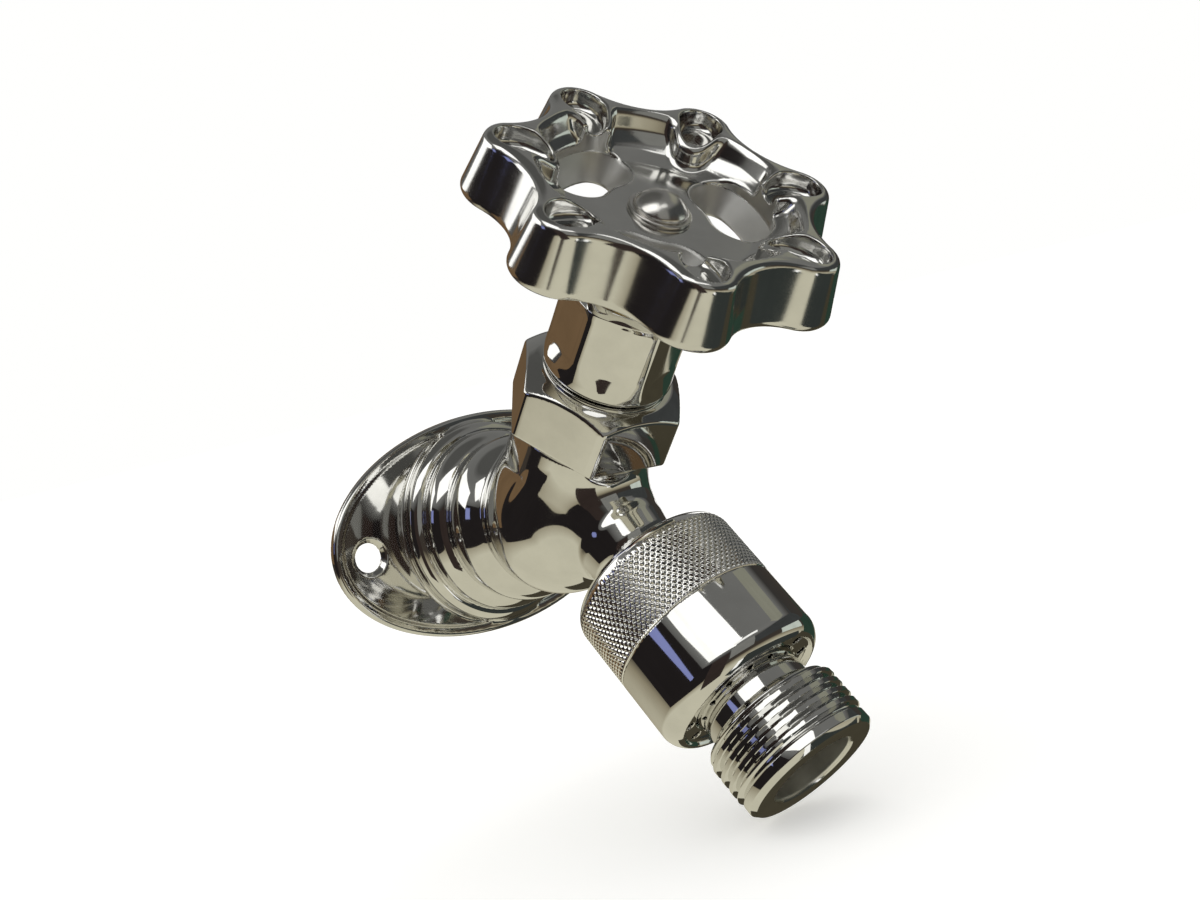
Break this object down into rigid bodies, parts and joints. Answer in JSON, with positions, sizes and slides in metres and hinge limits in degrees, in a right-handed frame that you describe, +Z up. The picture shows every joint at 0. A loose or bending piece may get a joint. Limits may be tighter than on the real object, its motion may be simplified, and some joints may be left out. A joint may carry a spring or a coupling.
{
  "type": "angle sillcock",
  "caption": "Chrome angle sillcock: oval wall flange, beaded neck, ball body, slanted stem with a scalloped handle, and a knurled hose vacuum breaker on the outlet.",
  "frame": {"origin": "centre of the pipe inlet's mouth, in the plane of the wall flange's back", "axes": "+Y into the wall along the inlet, +Z up, X along the flange's long axis; stem and outlet reach away from the wall towards -Y"},
  "size_m": [0.0744, 0.0985, 0.132],
  "materials": {
    "chrome_body": "polished",
    "chrome_handle": "polished casting",
    "chrome_knurl": "polished, knurled",
    "chrome_turned": "polished, turned",
    "steel_screw": "satin",
    "brass": "machined",
    "black_rubber": "matte",
    "packing_cord": "graphited",
    "fibre": "matte fibre",
    "white_plastic": "matte",
    "spring_steel": "drawn wire"
  },
  "bodies": {
    "valve": {"valve_body": "chrome_body", "bonnet": "chrome_turned", "packing_nut": "chrome_turned", "breaker_collar": "chrome_knurl", "breaker_shell": "chrome_turned", "outlet_nipple": "chrome_turned", "renewable_seat": "brass", "bonnet_gasket": "fibre", "packing_rings": "packing_cord", "packing_gland": "brass", "glide_ring": "white_plastic", "hose_gasket": "black_rubber", "check_seat": "white_plastic", "vent_diaphragm": "black_rubber", "check_cage": "white_plastic", "check_spring": "spring_steel", "nipple_seal_ring": "black_rubber", "retaining_clip": "spring_steel"},
    "seat_washer_group": {"washer_holder": "brass", "seat_washer": "black_rubber", "seat_washer_screw": "brass"},
    "stem_and_handle": {"stem": "brass", "handle": "chrome_handle", "handle_screw": "steel_screw", "handle_washer": "steel_screw"},
    "check": {"check_plunger": "white_plastic", "check_disc": "black_rubber"}
  },
  "joints": [
    {"name": "stem_rise", "type": "slide", "parent": "valve", "child": "seat_washer_group", "axis": [0, -0.7071, 0.7071], "range_m": [0, 0.00635]},
    {"name": "handle_turn", "type": "hinge", "parent": "seat_washer_group", "child": "stem_and_handle", "pos_m": [0, -0.0318, 0.007], "axis": [0, -0.7071, 0.7071], "range_deg": [0, 900]},
    {"name": "check_lift", "type": "slide", "parent": "valve", "child": "check", "axis": [0, -0.6428, -0.766], "range_m": [0, 0.002], "stiffness_N_per_m": 150, "springref_m": -0.002, "deforming": ["check_spring"]}
  ],
  "couplings": [
    {"joint": "handle_turn", "follows": "stem_rise", "rad_per_m": 2473.7}
  ]
}
